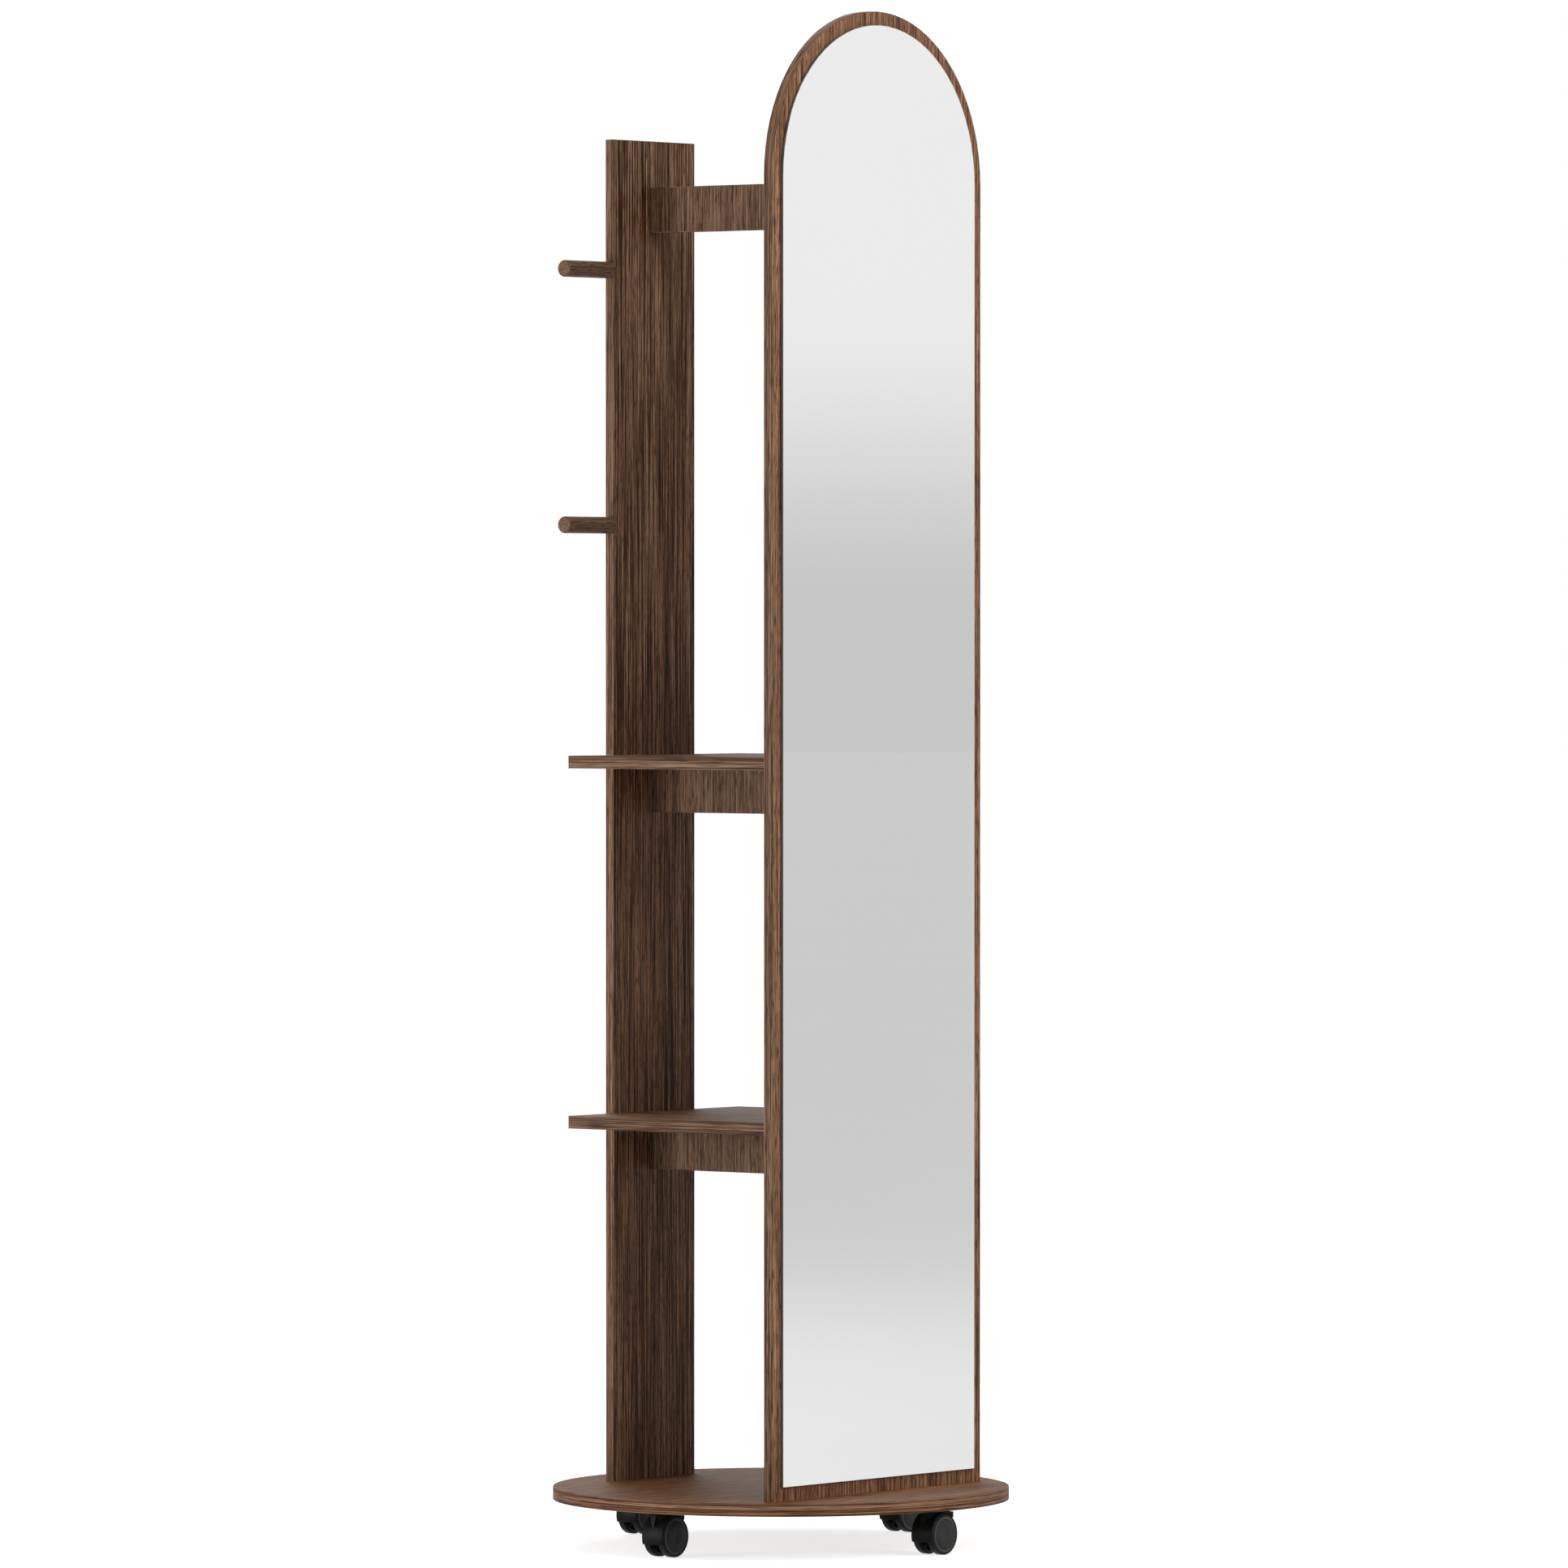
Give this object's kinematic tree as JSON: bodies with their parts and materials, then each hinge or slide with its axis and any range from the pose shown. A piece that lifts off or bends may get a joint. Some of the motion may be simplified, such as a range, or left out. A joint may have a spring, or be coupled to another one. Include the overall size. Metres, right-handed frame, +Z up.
{
  "type": "full-length storage mirror",
  "caption": "Arched full-length mirror on a round rolling base, with a rear post, open shelves, a hanging rail and side pegs.",
  "frame": {"origin": "on the floor, under the middle of the round base", "axes": "+Z up, -Y out of the mirror's face, +X across the mirror to the right as seen from its front"},
  "size_m": [0.5399, 0.54, 1.808],
  "materials": {
    "walnut_board": "satin",
    "edge_strip": "satin",
    "peg_wood": "satin",
    "dowel_wood": "matte",
    "mirror_glass": "polished",
    "foam_tape": "matte",
    "fittings_steel": "satin",
    "caster_plastic": "satin",
    "caster_tread": "gloss"
  },
  "bodies": {
    "frame": {"base_disc": "walnut_board", "base_band": "edge_strip", "mirror_board": "walnut_board", "mirror_band": "edge_strip", "mirror_tape": "foam_tape", "mirror_glass": "mirror_glass", "rear_post": "walnut_board", "post_band": "edge_strip", "lower_shelf": "walnut_board", "lower_shelf_band": "edge_strip", "upper_shelf": "walnut_board", "upper_shelf_band": "edge_strip", "lower_rail": "walnut_board", "middle_rail": "walnut_board", "hanging_rail": "walnut_board", "rail_bands": "edge_strip", "lower_peg": "peg_wood", "upper_peg": "peg_wood", "peg_studs": "fittings_steel", "cam_bolts": "fittings_steel", "cam_locks": "fittings_steel", "dowels": "dowel_wood", "base_screws": "fittings_steel", "caster_plates": "caster_plastic", "caster_stems": "fittings_steel", "caster_grip_rings": "fittings_steel", "caster_screws": "fittings_steel"},
    "front_swivel": {"front_hood": "caster_plastic", "front_axle": "fittings_steel"},
    "front_wheel_a_body": {"front_wheel_a": "caster_plastic", "front_tread_a": "caster_tread"},
    "front_wheel_b_body": {"front_wheel_b": "caster_plastic", "front_tread_b": "caster_tread"},
    "rear_swivel": {"rear_hood": "caster_plastic", "rear_axle": "fittings_steel"},
    "rear_wheel_a_body": {"rear_wheel_a": "caster_plastic", "rear_tread_a": "caster_tread"},
    "rear_wheel_b_body": {"rear_wheel_b": "caster_plastic", "rear_tread_b": "caster_tread"},
    "left_swivel": {"left_hood": "caster_plastic", "left_axle": "fittings_steel"},
    "left_wheel_a_body": {"left_wheel_a": "caster_plastic", "left_tread_a": "caster_tread"},
    "left_wheel_b_body": {"left_wheel_b": "caster_plastic", "left_tread_b": "caster_tread"},
    "right_swivel": {"right_hood": "caster_plastic", "right_axle": "fittings_steel"},
    "right_wheel_a_body": {"right_wheel_a": "caster_plastic", "right_tread_a": "caster_tread"},
    "right_wheel_b_body": {"right_wheel_b": "caster_plastic", "right_tread_b": "caster_tread"}
  },
  "joints": [
    {"name": "front_swivel_turn", "type": "hinge", "parent": "frame", "child": "front_swivel", "pos_m": [0, -0.224, 0.04], "axis": [0, 0, 1], "continuous": true},
    {"name": "front_wheel_a_spin", "type": "hinge", "parent": "front_swivel", "child": "front_wheel_a_body", "pos_m": [0.009, -0.224, 0.024], "axis": [0, 1, 0], "continuous": true},
    {"name": "front_wheel_b_spin", "type": "hinge", "parent": "front_swivel", "child": "front_wheel_b_body", "pos_m": [0.009, -0.224, 0.024], "axis": [0, 1, 0], "continuous": true},
    {"name": "rear_swivel_turn", "type": "hinge", "parent": "frame", "child": "rear_swivel", "pos_m": [0, 0.224, 0.04], "axis": [0, 0, 1], "continuous": true},
    {"name": "rear_wheel_a_spin", "type": "hinge", "parent": "rear_swivel", "child": "rear_wheel_a_body", "pos_m": [0.009, 0.224, 0.024], "axis": [0, 1, 0], "continuous": true},
    {"name": "rear_wheel_b_spin", "type": "hinge", "parent": "rear_swivel", "child": "rear_wheel_b_body", "pos_m": [0.009, 0.224, 0.024], "axis": [0, 1, 0], "continuous": true},
    {"name": "left_swivel_turn", "type": "hinge", "parent": "frame", "child": "left_swivel", "pos_m": [-0.224, 0, 0.04], "axis": [0, 0, 1], "continuous": true},
    {"name": "left_wheel_a_spin", "type": "hinge", "parent": "left_swivel", "child": "left_wheel_a_body", "pos_m": [-0.215, 0, 0.024], "axis": [0, 1, 0], "continuous": true},
    {"name": "left_wheel_b_spin", "type": "hinge", "parent": "left_swivel", "child": "left_wheel_b_body", "pos_m": [-0.215, 0, 0.024], "axis": [0, 1, 0], "continuous": true},
    {"name": "right_swivel_turn", "type": "hinge", "parent": "frame", "child": "right_swivel", "pos_m": [0.224, 0, 0.04], "axis": [0, 0, 1], "continuous": true},
    {"name": "right_wheel_a_spin", "type": "hinge", "parent": "right_swivel", "child": "right_wheel_a_body", "pos_m": [0.233, 0, 0.024], "axis": [0, 1, 0], "continuous": true},
    {"name": "right_wheel_b_spin", "type": "hinge", "parent": "right_swivel", "child": "right_wheel_b_body", "pos_m": [0.233, 0, 0.024], "axis": [0, 1, 0], "continuous": true}
  ]
}
